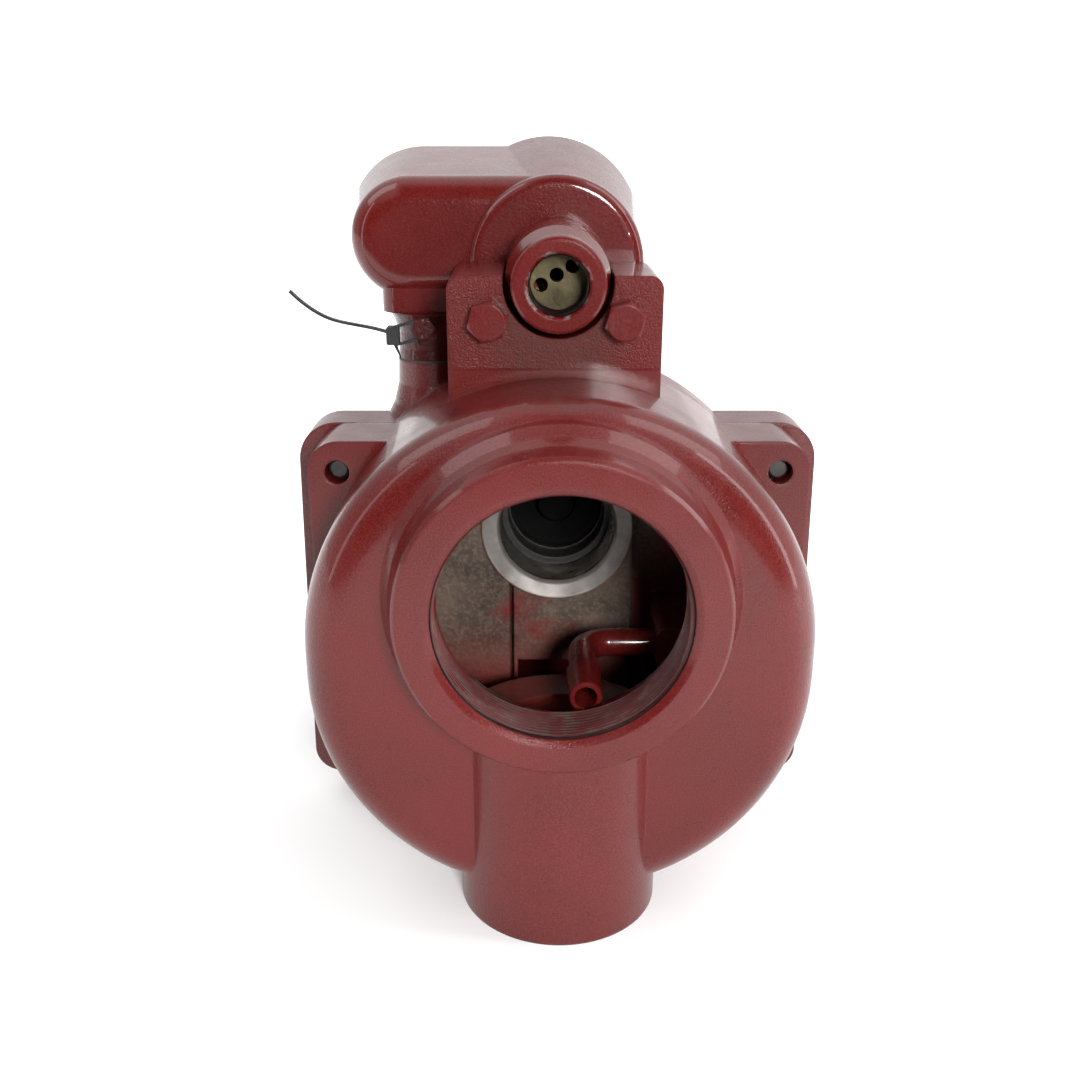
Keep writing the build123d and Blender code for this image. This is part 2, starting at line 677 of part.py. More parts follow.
def rear_slab(y, thickness):
    """Slab with the outline of the box's rear rim."""
    extrude(slot_face(y, CAP_LOBE_REAR_R), amount=-thickness)
    disc_y(LOBE_REAR_X, LOBE_REAR_Z, LOBE_REAR_R, y, y + thickness)
    floored(y - 1, y + thickness + 1, BOX_FLOOR)


def box_cavity(y0, y1):
    """Hollow of the box, less the floor left under the round lobe."""
    with BuildPart(mode=Mode.PRIVATE) as hollow:
        disc_y(COND_X, LOBE_Z, LOBE_R - BOX_WALL, y0, y1)
        floored(y0 - 1, y1 + 1, BOX_FLOOR + BOX_WALL)
        y_cap = max(y0, CAP_FRONT + BOX_WALL + 1)
        extrude(slot_face(y_cap, CAP_LOBE_R - BOX_WALL + 1), amount=-(y1 - y_cap))
    add(hollow.part, mode=Mode.SUBTRACT)


COVER_SCREWS = [
    (LOBE_REAR_X + 44 * cos(radians(75)), LOBE_REAR_Z + 44 * sin(radians(75))),
    (LOBE_REAR_X + 44 * cos(radians(5)), LOBE_REAR_Z + 44 * sin(radians(5))),
    (LOBE_REAR_X + 44 * cos(radians(-38)), LOBE_REAR_Z + 44 * sin(radians(-38))),
    (CAP_LOBE_X + 32 * cos(radians(85)), CAP_LOBE_Z + 32 * sin(radians(85))),
    (CAP_LOBE_X + 32 * cos(radians(180)), CAP_LOBE_Z + 32 * sin(radians(180))),
    (CAP_LOBE_X + 32 * cos(radians(265)), CAP_LOBE_Z + 32 * sin(radians(265))),
]

BOX_NOSE = 12.0         # straight length behind the front edge of the round lobe
BOX_ROUND = 5.0

with BuildPart() as wiring_box:
    with BuildPart(mode=Mode.PRIVATE) as cap_lobe:
        extrude(slot_face(CAP_FRONT, CAP_LOBE_R), amount=-(CAP_ROUND + 1))
        fillet(cap_lobe.edges().group_by(Axis.Y)[0], CAP_ROUND)
        loft(
            [slot_face(CAP_FRONT + CAP_ROUND + 1, CAP_LOBE_R), slot_face(BOX_REAR, CAP_LOBE_REAR_R)],
            ruled=True,
        )
    with BuildPart(mode=Mode.PRIVATE) as round_lobe:
        disc_y(COND_X, LOBE_Z, LOBE_R, BOX_FRONT, BOX_FRONT + BOX_NOSE)
        fillet(round_lobe.edges().group_by(Axis.Y)[0], BOX_ROUND)
        loft([
            round_face(BOX_FRONT + BOX_NOSE, COND_X, LOBE_Z, LOBE_R),
            round_face(BOX_REAR, LOBE_REAR_X, LOBE_REAR_Z, LOBE_REAR_R),
        ])
    add(cap_lobe.part)
    add(round_lobe.part)
    floored(BOX_FRONT - 1, BOX_REAR + 1, BOX_FLOOR)
    with BuildSketch(Plane.XY.offset(NECK_TOP)) as pad:
        with Locations((NECK_X, NECK_Y + 2.5)):
            RectangleRounded(2 * NECK_R + 14, 2 * NECK_R + 1, 12)
    extrude(pad.sketch, amount=12)
    turned_y(
        COND_X,
        COND_Z,
        [(COND_FACE, COND_OR - 1.5), (COND_FACE + 0.5, COND_OR - 0.5), (COND_FACE + 1.5, COND_OR),
         (BLOCK_FRONT + 1, COND_OR), (BLOCK_FRONT + 10, COND_COLLAR_R),
         (BOX_FRONT + 3, COND_COLLAR_R)],
    )
    # cavity
    box_cavity(BOX_FRONT + BOX_WALL + 1, BOX_REAR + 1)
    for bx in BOX_BOLT_XS:
        disc_y(bx, BOX_BOLT_Z, 9, BOX_FRONT + BOX_WALL, BOX_FRONT + 20)
        disc_y(bx, BOX_BOLT_Z, BOLT_R + 0.02, BOX_FRONT - 1, BOX_FRONT + 21, Mode.SUBTRACT)
    # conduit thread, stop and passage
    turned_y(
        COND_X,
        COND_Z,
        [(COND_FACE - 0.5, NPT34_MOUTH_R + 0.5), (COND_FACE + 1.5, NPT34_R),
         (COND_FACE + NPT34_LEN, NPT34_R), (COND_FACE + NPT34_LEN, NPT34_R + 0.6),
         (COND_FACE + NPT34_LEN + 9, NPT34_R + 0.6), (COND_FACE + NPT34_LEN + 9, 10),
         (BOX_FRONT + 10, 10)],
        Mode.SUBTRACT,
    )
    # opening down into the wiring neck
    disc_z(NECK_X, NECK_Y, 12, NECK_TOP - 1, CAP_LOBE_Z - 20, Mode.SUBTRACT)
    for sx, sz in COVER_SCREWS:
        disc_y(sx, sz, COVER_SCREW_R + 0.02, BOX_REAR - 14, BOX_REAR + 1, Mode.SUBTRACT)
save(wiring_box, "wiring_box")

with BuildPart() as box_gasket:
    rear_slab(BOX_REAR, COVER_GASKET)
    box_cavity(BOX_REAR - 1, BOX_REAR + COVER_GASKET + 1)
    for sx, sz in COVER_SCREWS:
        disc_y(sx, sz, COVER_SCREW_R + 0.3, BOX_REAR - 1, BOX_REAR + 3, Mode.SUBTRACT)
save(box_gasket, "box_gasket")

COVER_Y = BOX_REAR + COVER_GASKET
with BuildPart() as box_cover:
    rear_slab(COVER_Y, COVER_THK)
    fillet(box_cover.edges().group_by(Axis.Y)[-1], 3)
    for sx, sz in COVER_SCREWS:
        disc_y(sx, sz, COVER_SCREW_R + 0.3, COVER_Y - 1, COVER_Y + COVER_THK + 1, Mode.SUBTRACT)
save(box_cover, "box_cover")

with BuildPart() as cover_screws:
    for sx, sz in COVER_SCREWS:
        disc_y(sx, sz, COVER_SCREW_R, BOX_REAR - 12, COVER_Y + COVER_THK)
        hex_head_y(sx, sz, 8, COVER_Y + COVER_THK + 4, COVER_Y + COVER_THK)
save(cover_screws, "cover_screws")

with BuildPart() as box_bolts:
    for bx in BOX_BOLT_XS:
        hex_head_y(bx, BOX_BOLT_Z, BOLT_AF, BLOCK_FRONT - BOLT_HEAD, BLOCK_FRONT, 15)
        disc_y(bx, BOX_BOLT_Z, BOLT_R, BLOCK_FRONT - 1, BOX_FRONT + 18)
save(box_bolts, "box_bolts")

with BuildPart() as conduit_seal_disc:
    disc_y(COND_X, COND_Z, NPT34_R + 0.5, COND_FACE + NPT34_LEN + 3, COND_FACE + NPT34_LEN + 8)
    for dx, dz in DISC_HOLES:
        disc_y(
            COND_X + dx, COND_Z + dz, DISC_HOLE_R,
            COND_FACE + NPT34_LEN + 2, COND_FACE + NPT34_LEN + 9, Mode.SUBTRACT,
        )
save(conduit_seal_disc, "conduit_seal_disc")

CAN_R = 19.0
with BuildPart() as capacitor:
    disc_y(CAP_LOBE_X, CAP_LOBE_Z + 1, CAN_R, CAP_FRONT + BOX_WALL + 3, BOX_REAR - 22)
    fillet(capacitor.edges().group_by(Axis.Y)[0], 2)
    disc_y(CAP_LOBE_X, CAP_LOBE_Z + 1, CAN_R - 2.5, BOX_REAR - 22, BOX_REAR - 20)
save(capacitor, "capacitor")

with BuildPart() as capacitor_terminals:
    for dx in (-7, 7):
        with BuildSketch(at_y(BOX_REAR - 20)):
            with Locations((CAP_LOBE_X + dx, CAP_LOBE_Z + 1)):
                Rectangle(6.3, 0.8)
        extrude(amount=-9)
save(capacitor_terminals, "capacitor_terminals")

with BuildPart() as capacitor_clamp:
    disc_y(CAP_LOBE_X, CAP_LOBE_Z + 1, CAN_R + 1.4, 160, 174)
    with BuildSketch(at_y(160)):
        rect_xz(CAP_LOBE_X + CAN_R, CAP_LOBE_X + CAN_R + 14, CAP_LOBE_Z - 1, CAP_LOBE_Z + 3)
    extrude(amount=-14)
    disc_y(CAP_LOBE_X, CAP_LOBE_Z + 1, CAN_R + 0.02, 159, 175, Mode.SUBTRACT)
save(capacitor_clamp, "capacitor_clamp")

with BuildPart() as ground_screw:
    disc_y(COND_X + 8, 148, 2.5, BOX_FRONT + BOX_WALL + 1, BOX_FRONT + BOX_WALL + 9)
    hex_y(COND_X + 8, 148, 8, BOX_FRONT + BOX_WALL + 3, BOX_FRONT + BOX_WALL + 7)
save(ground_screw, "ground_screw")

# ---------------------------------------------------------------- wiring neck
with BuildPart() as wiring_neck:
    turned_z(
        NECK_X,
        NECK_Y,
        [(NECK_R + 0.5, NECK_PAD_Z + 1), (NECK_R, NECK_PAD_Z + 6), (NECK_R, NECK_TOP - 10),
         (NECK_R + 2, NECK_TOP - 4), (NECK_R + 4, NECK_TOP)],
    )
    # peg for tags
    disc_y(PEG_X, PEG_Z, 3.4, PEG_FRONT, NECK_Y - 8)
    disc_y(PEG_X, PEG_Z, 5.2, PEG_FRONT - 3, PEG_FRONT)
    disc_z(NECK_X, NECK_Y, 12, NECK_PAD_Z, NECK_TOP + 1, Mode.SUBTRACT)
save(wiring_neck, "wiring_neck")

with BuildPart() as neck_gasket:
    disc_z(NECK_X, NECK_Y, NECK_R + 0.5, NECK_PAD_Z, NECK_PAD_Z + 1)
    disc_z(NECK_X, NECK_Y, 13, NECK_PAD_Z - 1, NECK_PAD_Z + 2, Mode.SUBTRACT)
save(neck_gasket, "neck_gasket")

with BuildPart() as connector_body:
    disc_z(NECK_X, NECK_Y, 12.9, 61, NECK_PAD_Z)
    disc_z(NECK_X, NECK_Y, 11.8, NECK_PAD_Z, NECK_PAD_Z + 18)
    for k in range(3):
        a = radians(90 + 120 * k)
        disc_z(
            NECK_X + 6 * cos(a), NECK_Y + 6 * sin(a), 1.6,
            NECK_PAD_Z + 10, NECK_PAD_Z + 19, Mode.SUBTRACT,
        )
save(connector_body, "connector_body")

with BuildPart() as connector_pins:
    for k in range(3):
        a = radians(90 + 120 * k)
        disc_z(NECK_X + 6 * cos(a), NECK_Y + 6 * sin(a), 1.58, NECK_PAD_Z + 10, NECK_PAD_Z + 27)
save(connector_pins, "connector_pins")

# ---------------------------------------------------------------- cable tie
TIE_W = 2.8
TIE_T = 1.2
TIE_Y = PEG_FRONT + 1.9
HEAD_X = -79.0
HEAD_Z = 95.5
LOOP_R = 3.6
LOOP_LEN = sqrt((PEG_X - HEAD_X - 2) ** 2 + (PEG_Z - HEAD_Z) ** 2)
LOOP_TURN = degrees(atan2(PEG_Z - HEAD_Z, PEG_X - HEAD_X - 2))

with BuildPart() as cable_tie:
    # tail
    with BuildLine(Plane(origin=(0, TIE_Y, 0), x_dir=(1, 0, 0), z_dir=(0, -1, 0))) as tail:
        Spline(
            (-127.0, 116.5),
            (-120.5, 110.5),
            (-109.5, 103.8),
            (-98.5, 100.9),
            (HEAD_X, HEAD_Z + 0.6),
        )
    with BuildSketch(Plane(origin=tail.line @ 0, x_dir=(0, 1, 0), z_dir=tail.line % 0)):
        Rectangle(TIE_W, TIE_T)
    sweep(path=tail.line)
    # head
    with BuildSketch(at_y(TIE_Y - 3)) as head:
        with Locations((HEAD_X, HEAD_Z)):
            Rectangle(6, 8.5)
        fillet(head.vertices(), 1)
    extrude(amount=-6)
    # pointed start of the strap below the head
    with BuildSketch(at_y(TIE_Y - TIE_W / 2)):
        with BuildLine():
            Polyline(
                (HEAD_X - 0.5, HEAD_Z - 3),
                (HEAD_X + 1.2, HEAD_Z - 3),
                (HEAD_X + 3.4, HEAD_Z - 11),
                close=True,
            )
        make_face()
    extrude(amount=-TIE_W)
    # loop round the peg
    with BuildSketch(at_y(TIE_Y - TIE_W / 2)):
        with Locations(((HEAD_X + 2 + PEG_X) / 2, (HEAD_Z + PEG_Z) / 2)):
            SlotOverall(
                LOOP_LEN + 2 * (LOOP_R + TIE_T), 2 * (LOOP_R + TIE_T), rotation=LOOP_TURN
            )
            SlotOverall(LOOP_LEN + 2 * LOOP_R, 2 * LOOP_R, rotation=LOOP_TURN, mode=Mode.SUBTRACT)
    extrude(amount=-TIE_W)
save(cable_tie, "cable_tie")
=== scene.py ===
import bpy
from math import cos, pi, radians, sin
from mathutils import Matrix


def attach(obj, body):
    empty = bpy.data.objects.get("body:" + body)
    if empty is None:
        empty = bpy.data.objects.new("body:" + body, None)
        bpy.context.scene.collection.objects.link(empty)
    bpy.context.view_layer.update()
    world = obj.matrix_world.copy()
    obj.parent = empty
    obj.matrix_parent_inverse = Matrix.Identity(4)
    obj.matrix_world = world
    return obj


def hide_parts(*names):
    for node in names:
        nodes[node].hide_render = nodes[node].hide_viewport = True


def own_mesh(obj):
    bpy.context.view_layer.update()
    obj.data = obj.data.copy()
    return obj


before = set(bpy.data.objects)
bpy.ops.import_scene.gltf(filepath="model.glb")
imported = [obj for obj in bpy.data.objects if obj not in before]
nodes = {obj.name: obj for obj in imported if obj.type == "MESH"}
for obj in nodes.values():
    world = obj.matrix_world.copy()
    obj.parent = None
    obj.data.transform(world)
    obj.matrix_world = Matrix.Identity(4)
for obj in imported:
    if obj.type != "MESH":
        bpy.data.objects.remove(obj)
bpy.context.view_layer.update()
scene = bpy.context.scene

# ------------------------------------------------------------------ sizes (metres)
RISER_R = 0.0546
HUB2_FACE = 0.115
NPT2_R = 0.0289
LEG_Y = 0.050
LEG_END = -0.162
COND = (-0.001, 0.126)
COND_FACE = 0.070
COND_R = 0.0133
CHAMBER_Z = -0.038
CHAMBER_R = 0.100
PITCH_4 = 0.002309
PITCH_2 = 0.00221
PITCH_34 = 0.001814


# ------------------------------------------------------------------ node helpers
class Nodes:
    """Small builder for a material's node tree."""

    def __init__(self, name):
        self.mat = bpy.data.materials.new(name)
        self.mat.use_nodes = True
        self.tree = self.mat.node_tree
        self.bsdf = self.tree.nodes["Principled BSDF"]
        coord = self.tree.nodes.new("ShaderNodeTexCoord")
        self.pos = coord.outputs["Object"]
        split = self.tree.nodes.new("ShaderNodeSeparateXYZ")
        self.link(self.pos, split.inputs[0])
        self.x, self.y, self.z = split.outputs

    def link(self, a, b):
        self.tree.links.new(a, b)

    def put(self, socket, value):
        if hasattr(value, "is_output"):
            self.link(value, socket)
        else:
            socket.default_value = value

    def math(self, op, a, b=0.0, c=0.0, clamp=False):
        n = self.tree.nodes.new("ShaderNodeMath")
        n.operation = op
        n.use_clamp = clamp
        self.put(n.inputs[0], a)
        self.put(n.inputs[1], b)
        self.put(n.inputs[2], c)
        return n.outputs[0]

    def noise(self, scale, detail=4.0, rough=0.55, distort=0.0, vector=None):
        n = self.tree.nodes.new("ShaderNodeTexNoise")
        self.link(vector or self.pos, n.inputs["Vector"])
        n.inputs["Scale"].default_value = scale
        n.inputs["Detail"].default_value = detail
        n.inputs["Roughness"].default_value = rough
        n.inputs["Distortion"].default_value = distort
        return n.outputs["Fac"]

    def cells(self, scale, smooth=True):
        n = self.tree.nodes.new("ShaderNodeTexVoronoi")
        n.feature = "SMOOTH_F1" if smooth else "F1"
        self.link(self.pos, n.inputs["Vector"])
        n.inputs["Scale"].default_value = scale
        return n.outputs["Distance"]

    def ramp(self, value, low, high, out_low=0.0, out_high=1.0):
        n = self.tree.nodes.new("ShaderNodeMapRange")
        n.clamp = True
        self.put(n.inputs[0], value)
        for i, v in enumerate((low, high, out_low, out_high)):
            n.inputs[i + 1].default_value = v
        return n.outputs[0]

    def mix(self, factor, a, b):
        n = self.tree.nodes.new("ShaderNodeMix")
        n.data_type = "RGBA"
        self.put(n.inputs[0], factor)
        self.put(n.inputs[6], a if hasattr(a, "is_output") else (*a, 1.0))
        self.put(n.inputs[7], b if hasattr(b, "is_output") else (*b, 1.0))
        return n.outputs[2]

    def blend(self, factor, a, b):
        n = self.tree.nodes.new("ShaderNodeMix")
        self.put(n.inputs[0], factor)
        self.put(n.inputs[2], a)
        self.put(n.inputs[3], b)
        return n.outputs[0]

    def bump(self, height, strength, distance, normal=None):
        n = self.tree.nodes.new("ShaderNodeBump")
        n.inputs["Strength"].default_value = strength
        n.inputs["Distance"].default_value = distance
        self.link(height, n.inputs["Height"])
        if normal is not None:
            self.link(normal, n.inputs["Normal"])
        return n.outputs[0]

    def round_edges(self, radius):
        n = self.tree.nodes.new("ShaderNodeBevel")
        n.samples = 6
        n.inputs["Radius"].default_value = radius
        return n.outputs[0]

    def worn(self, radius):
        """1 on edges, 0 on flats: how far a rounded normal leans from the true one."""
        geo = self.tree.nodes.new("ShaderNodeNewGeometry")
        dot = self.tree.nodes.new("ShaderNodeVectorMath")
        dot.operation = "DOT_PRODUCT"
        self.link(self.round_edges(radius), dot.inputs[0])
        self.link(geo.outputs["Normal"], dot.inputs[1])
        return self.ramp(dot.outputs["Value"], 0.97, 0.80)

    def radius(self, a, b, ca, cb):
        """Distance from an axis through (ca, cb) of the two coordinates a and b."""
        da = self.math("SUBTRACT", a, ca)
        db = self.math("SUBTRACT", b, cb)
        squares = self.math("ADD", self.math("MULTIPLY", da, da), self.math("MULTIPLY", db, db))
        return self.math("SQRT", squares)

    def below(self, value, limit, soft=0.0006):
        return self.ramp(value, limit - soft, limit + soft, 1.0, 0.0)

    def above(self, value, limit, soft=0.0006):
        return self.ramp(value, limit - soft, limit + soft)

    def all(self, *masks):
        out = masks[0]
        for m in masks[1:]:
            out = self.math("MULTIPLY", out, m)
        return out

    def finish(self, color, rough, metal=0.0, normal=None, **consts):
        self.put(self.bsdf.inputs["Base Color"], color if hasattr(color, "is_output") else (*color, 1.0))
        self.put(self.bsdf.inputs["Roughness"], rough)
        self.put(self.bsdf.inputs["Metallic"], metal)
        if normal is not None:
            self.link(normal, self.bsdf.inputs["Normal"])
        for key, value in consts.items():
            self.bsdf.inputs[key.replace("_", " ")].default_value = value
        return self.mat


RED = (0.106, 0.0058, 0.0050)
RED_DEEP = (0.064, 0.0032, 0.0030)
RED_WORN = (0.20, 0.022, 0.019)  # thin over edges
MIST = (0.17, 0.012, 0.010)  # overspray on bare iron
# painted shade colour for the neck area under the wiring box
SHADE = (0.030, 0.002, 0.002)
RAW = (0.135, 0.090, 0.064)
RAW_DARK = (0.042, 0.027, 0.020)


def enamel_color(n):
    """Red enamel, uneven where it ran thick or thin over the casting."""
    broad = n.noise(14.0, 3.0)
    fine = n.noise(1500.0, 3.0, 0.7)
    tone = n.mix(n.ramp(broad, 0.35, 0.68), RED_DEEP, RED)
    return n.mix(n.ramp(fine, 0.42, 0.66, 0.0, 0.75), tone, (0.165, 0.019, 0.016))


def enamel_height(n, pebble, grain):
    """Sand-cast skin softened by paint: pebbles under a fine orange peel."""
    peel = n.noise(900.0, 2.0, 0.5)
    cast = n.noise(grain, 5.0, 0.62)
    pits = n.ramp(n.cells(grain * 1.6), 0.1, 0.55)
    rough = n.math("ADD", n.math("MULTIPLY", cast, pebble), n.math("MULTIPLY", pits, pebble * 0.5))
    return n.math("ADD", n.math("MULTIPLY", peel, 0.35), rough)


def coat(weight, rough, specular):
    return {"Coat_Weight": weight, "Coat_Roughness": rough, "Specular_IOR_Level": specular}


def enamel(name, pebble=0.8, grain=260.0, distance=0.0006, edge=0.0016, strength=0.55, painted_light_level=1.0):
    n = Nodes(name)
    normal = n.bump(enamel_height(n, pebble, grain), strength, distance, n.round_edges(edge))
    # painted shade: a level below 1 darkens the enamel toward near-black and thins the worn edges
    color = n.mix(1.0 - painted_light_level, enamel_color(n), (0.012, 0.002, 0.002))
    color = n.mix(n.math("MULTIPLY", n.worn(0.0012), 0.35 * painted_light_level), color, RED_WORN)
    rough = n.ramp(n.noise(60.0, 4.0), 0.3, 0.7, 0.24, 0.36)
    return n.finish(color, rough, 0.0, normal, **coat(0.45, 0.07, 0.20))


def raw_iron(n):
    """Unpainted cast skin: colour, roughness, height."""
    blotch = n.noise(38.0, 5.0, 0.6)
    fine = n.noise(520.0, 4.0, 0.6)
    color = n.mix(n.ramp(blotch, 0.30, 0.70), RAW_DARK, RAW)
    color = n.mix(n.ramp(fine, 0.45, 0.80, 0.0, 0.6), color, (0.23, 0.175, 0.135))
    rough = n.ramp(fine, 0.3, 0.7, 0.42, 0.68)
    lumps = n.math("MULTIPLY", n.noise(60.0, 3.0), 0.7)
    height = n.math("ADD", n.noise(230.0, 6.0, 0.65), lumps)
    return color, rough, height


def overspray(n, low, high):
    """Patches of red mist blown in through the port."""
    cloud = n.noise(24.0, 4.0, 0.6, 0.4)
    speck = n.noise(900.0, 2.0)
    return n.ramp(n.math("ADD", cloud, n.math("MULTIPLY", speck, 0.18)), low, high)


def manifold_paint():
    n = Nodes("manifold_enamel")
    # masks for what the paint gun couldn't reach
    port = n.radius(n.x, n.z, 0.0, 0.0)
    chamber = n.radius(n.x, n.z, 0.0, CHAMBER_Z)
    inside = n.all(n.below(chamber, CHAMBER_R + 0.0008), n.above(n.y, 0.0345), n.below(n.y, 0.1242))
    relief = n.all(n.below(port, 0.0585), n.above(n.y, 0.0268), n.below(n.y, 0.062))
    leg = n.radius(n.x, n.y, 0.0, LEG_Y)
    bore = n.all(n.below(leg, NPT2_R + 0.0008), n.below(n.z, -0.07))
    hidden = n.math("MAXIMUM", n.math("MAXIMUM", inside, relief), bore)
    block = n.all(n.above(n.z, 0.088), n.above(n.y, 0.079))
    red = enamel_color(n)
    iron, iron_rough, iron_height = raw_iron(n)
    mist = n.math("MAXIMUM", overspray(n, 0.56, 0.74), n.ramp(n.z, -0.045, -0.075, 0.0, 0.9))
    iron = n.mix(mist, iron, MIST)
    color = n.mix(hidden, red, iron)
    edge = n.math("MULTIPLY", n.worn(0.0014), n.math("SUBTRACT", 1.0, hidden))
    color = n.mix(n.math("MULTIPLY", edge, 0.35), color, RED_WORN)
    # thin, dried paint in the lee of the conduit boss, and painted shadow of the boss: the block face
    # below it is darkened to brown
    near = n.ramp(n.radius(n.x, n.z, -0.002, 0.104), 0.034, 0.018)
    lee = n.all(near, n.below(n.y, 0.0815), n.above(n.z, 0.080))
    dry_paint_and_shade = n.math("MULTIPLY", lee, n.ramp(n.noise(260.0, 5.0, 0.7), 0.35, 0.65, 0.20, 0.85))
    color = n.mix(dry_paint_and_shade, color, (0.080, 0.026, 0.021))
    drum_skin = n.math("MULTIPLY", enamel_height(n, 0.45, 620.0), 0.75)
    block_skin = n.math("MULTIPLY", enamel_height(n, 1.3, 760.0), 1.1)
    pebble = n.blend(block, drum_skin, block_skin)
    height = n.blend(hidden, pebble, n.math("MULTIPLY", iron_height, 2.0))
    root = n.all(n.above(n.z, 0.074, 0.003), n.below(n.z, 0.098, 0.004), n.above(n.y, 0.066, 0.003))
    soft = n.mix(root, n.round_edges(0.0024), n.round_edges(0.0075))
    normal = n.bump(height, 0.5, 0.0006, soft)
    rough = n.blend(hidden, n.ramp(n.noise(55.0, 4.0), 0.3, 0.7, 0.25, 0.38), iron_rough)
    rough = n.blend(dry_paint_and_shade, rough, 0.6)
    return n.finish(color, rough, 0.0, normal, **coat(0.40, 0.08, 0.20))


def head_paint():
    n = Nodes("head_enamel")
    front = n.all(n.below(n.y, 0.1254), n.below(n.radius(n.x, n.z, 0.0, CHAMBER_Z), CHAMBER_R + 0.0005))
    hub_r = n.radius(n.x, n.z, 0.0, 0.0)
    ring = n.all(n.below(hub_r, 0.0372), n.below(n.y, HUB2_FACE + 0.0012))
    bore = n.all(n.below(hub_r, 0.0305), n.below(n.y, 0.1385))
    bright = n.math("MAXIMUM", ring, bore)
    far_bore_painted_shade = n.all(n.below(hub_r, 0.0360), n.above(n.y, 0.1385), n.above(n.z, -0.037))
    front = n.math("MAXIMUM", front, far_bore_painted_shade)
    red = enamel_color(n)
    iron, iron_rough, iron_height = raw_iron(n)
    mist = n.math("MAXIMUM", overspray(n, 0.58, 0.78), n.ramp(n.z, -0.050, -0.085, 0.0, 0.85))
    lug = n.all(n.above(n.x, 0.040), n.below(n.z, -0.030))
    mist = n.math("MAXIMUM", mist, n.math("MULTIPLY", lug, 0.9))
    color = n.mix(front, red, n.mix(mist, iron, MIST))
    # painted shade: the passage far inside, behind the column thread, is coloured near-black
    color = n.mix(far_bore_painted_shade, color, (0.020, 0.017, 0.015))
    # painted shade: the head's neck area under the wiring box is darkened toward near-black
    shade = n.all(n.below(n.x, -0.020, 0.014), n.above(n.z, 0.085, 0.012), n.above(n.y, 0.128, 0.004))
    color = n.mix(n.math("MULTIPLY", shade, 0.5), color, SHADE)
    # turned face: fine concentric tool marks
    tool = n.math("SINE", n.math("MULTIPLY", hub_r, 2 * pi / 0.00035))
    steel = n.mix(n.ramp(n.noise(90.0, 5.0), 0.35, 0.7), (0.24, 0.21, 0.19), (0.40, 0.37, 0.345))
    # painted shade: the cut steel darkens further into the bore
    steel = n.mix(n.ramp(n.y, HUB2_FACE + 0.002, 0.139, 0.0, 0.8), steel, (0.035, 0.031, 0.028))
    color = n.mix(bright, color, steel)
    height = n.blend(front, enamel_height(n, 0.6, 620.0), n.math("MULTIPLY", iron_height, 2.0))
    height = n.blend(bright, height, n.math("MULTIPLY", tool, 0.10))
    normal = n.bump(height, 0.5, 0.0006, n.round_edges(0.0016))
    rough = n.blend(front, n.ramp(n.noise(55.0, 4.0), 0.3, 0.7, 0.25, 0.38), iron_rough)
    rough = n.blend(bright, rough, n.ramp(n.noise(300.0, 3.0), 0.3, 0.7, 0.28, 0.44))
    metal = n.math("MULTIPLY", bright, 0.55)
    return n.finish(color, rough, metal, normal, Coat_Weight=0.2, Coat_Roughness=0.2)


def box_paint():
    n = Nodes("box_enamel")
    cond = n.radius(n.x, n.z, *COND)
    bore = n.all(n.below(cond, COND_R + 0.0012), n.below(n.y, 0.128))
    rear = n.above(n.y, 0.146, 0.012)
    front_skin = n.math("MULTIPLY", enamel_height(n, 0.4, 420.0), 0.55)
    height = n.blend(rear, front_skin, enamel_height(n, 1.2, 760.0))
    bare = n.math("MULTIPLY", bore, n.ramp(n.noise(150.0, 4.0), 0.50, 0.62))
    color = n.mix(bare, enamel_color(n), (0.34, 0.28, 0.26))
    color = n.mix(n.math("MULTIPLY", n.worn(0.0012), 0.3), color, RED_WORN)
    normal = n.bump(height, 0.55, 0.0006, n.round_edges(0.0018))
    rough = n.ramp(n.noise(60.0, 4.0), 0.3, 0.7, 0.22, 0.34)
    return n.finish(color, rough, n.math("MULTIPLY", bare, 0.8), normal, **coat(0.62, 0.05, 0.12))


def metal(name, low, high, rough=(0.25, 0.42), grain=300.0, strength=0.2, metallic=1.0, dirt=None):
    n = Nodes(name)
    tone = n.mix(n.ramp(n.noise(grain * 0.25, 5.0), 0.3, 0.7), low, high)
    if dirt:
        tone = n.mix(n.ramp(n.noise(45.0, 6.0, 0.65), 0.55, 0.75, 0.0, 0.7), tone, dirt)
    tone = n.mix(n.math("MULTIPLY", n.worn(0.0005), 0.6), tone, tuple(min(1.0, c * 1.5) for c in high))
    height = n.math("ADD", n.noise(grain, 4.0, 0.6), n.math("MULTIPLY", n.noise(grain * 5, 2.0), 0.4))
    normal = n.bump(height, strength, 0.0003, n.round_edges(0.0005))
    return n.finish(tone, n.ramp(n.noise(grain * 0.6, 4.0), 0.3, 0.7, *rough), metallic, normal)


def soft_black(name, color, rough, grain, strength, **consts):
    n = Nodes(name)
    dark = tuple(c * 0.7 for c in color)
    light = tuple(c * 1.5 for c in color)
    tone = n.mix(n.ramp(n.noise(70.0, 4.0), 0.3, 0.7), dark, light)
    normal = n.bump(n.noise(grain, 5.0, 0.6), strength, 0.0002, n.round_edges(0.0004))
    uneven = n.ramp(n.noise(grain * 0.3), 0.3, 0.7, rough - 0.07, rough + 0.08)
    return n.finish(tone, uneven, 0.0, normal, **consts)


paint = enamel("enamel_cover", 1.0, 380.0)
